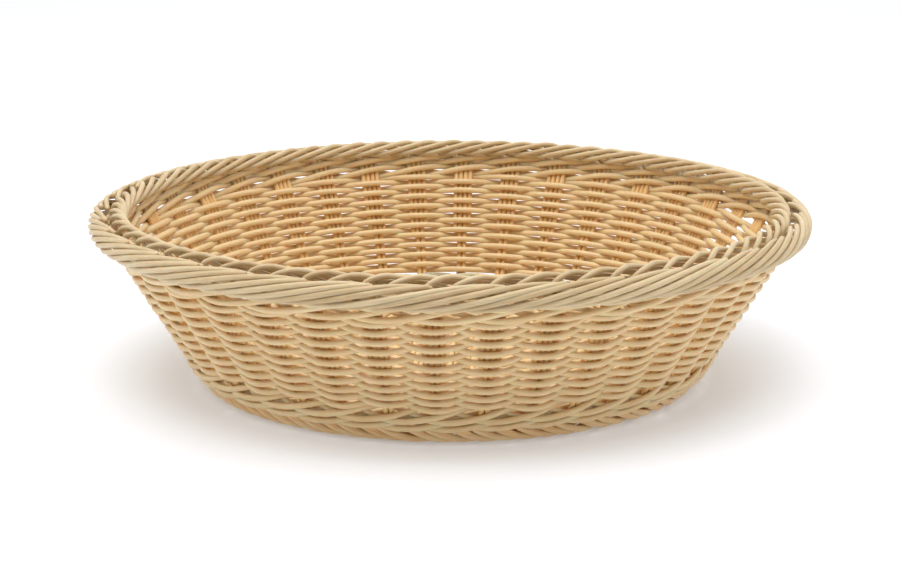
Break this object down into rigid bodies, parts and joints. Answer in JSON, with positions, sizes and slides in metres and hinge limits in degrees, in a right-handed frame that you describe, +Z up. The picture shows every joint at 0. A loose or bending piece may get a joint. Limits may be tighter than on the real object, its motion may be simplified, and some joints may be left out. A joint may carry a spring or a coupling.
{
  "type": "woven basket",
  "caption": "Shallow round wicker basket with flared woven sides, a rolled plaited border and a low foot ring, for bread, fruit or small things.",
  "frame": {"origin": "centre of the circle that the foot border stands on", "axes": "+Z up, along the basket's axis; +X and +Y are any two crosswise directions, with a stake on -Y"},
  "size_m": [0.4, 0.4, 0.1],
  "materials": {
    "border_strand": "pale straw, satin, fine lengthwise streaks",
    "wall_strand": "warm honey, satin, fine lengthwise streaks",
    "foot_strand": "straw, satin, fine lengthwise streaks",
    "stake_strand": "honey, satin, fine lengthwise streaks"
  },
  "bodies": {
    "root": {"base_centre": "stake_strand", "base_weave": "wall_strand", "foot_border": "foot_strand", "upset_wale": "wall_strand", "side_weave_lower": "wall_strand", "side_weave_upper": "wall_strand", "top_wale": "wall_strand", "rim_plait": "border_strand", "rim_roll": "border_strand", "stake_01": "stake_strand", "stake_02": "stake_strand", "stake_03": "stake_strand", "stake_04": "stake_strand", "stake_05": "stake_strand", "stake_06": "stake_strand", "stake_07": "stake_strand", "stake_08": "stake_strand", "stake_09": "stake_strand", "stake_10": "stake_strand", "stake_11": "stake_strand", "stake_12": "stake_strand", "stake_13": "stake_strand", "stake_14": "stake_strand", "stake_15": "stake_strand", "stake_16": "stake_strand", "stake_17": "stake_strand", "stake_18": "stake_strand", "stake_19": "stake_strand", "stake_20": "stake_strand", "stake_21": "stake_strand", "stake_22": "stake_strand", "stake_23": "stake_strand", "stake_24": "stake_strand", "stake_25": "stake_strand", "stake_26": "stake_strand", "stake_27": "stake_strand", "stake_28": "stake_strand", "stake_29": "stake_strand", "stake_30": "stake_strand", "stake_31": "stake_strand", "stake_32": "stake_strand", "stake_33": "stake_strand", "stake_34": "stake_strand", "stake_35": "stake_strand", "stake_36": "stake_strand", "stake_37": "stake_strand", "stake_38": "stake_strand"}
  },
  "joints": []
}
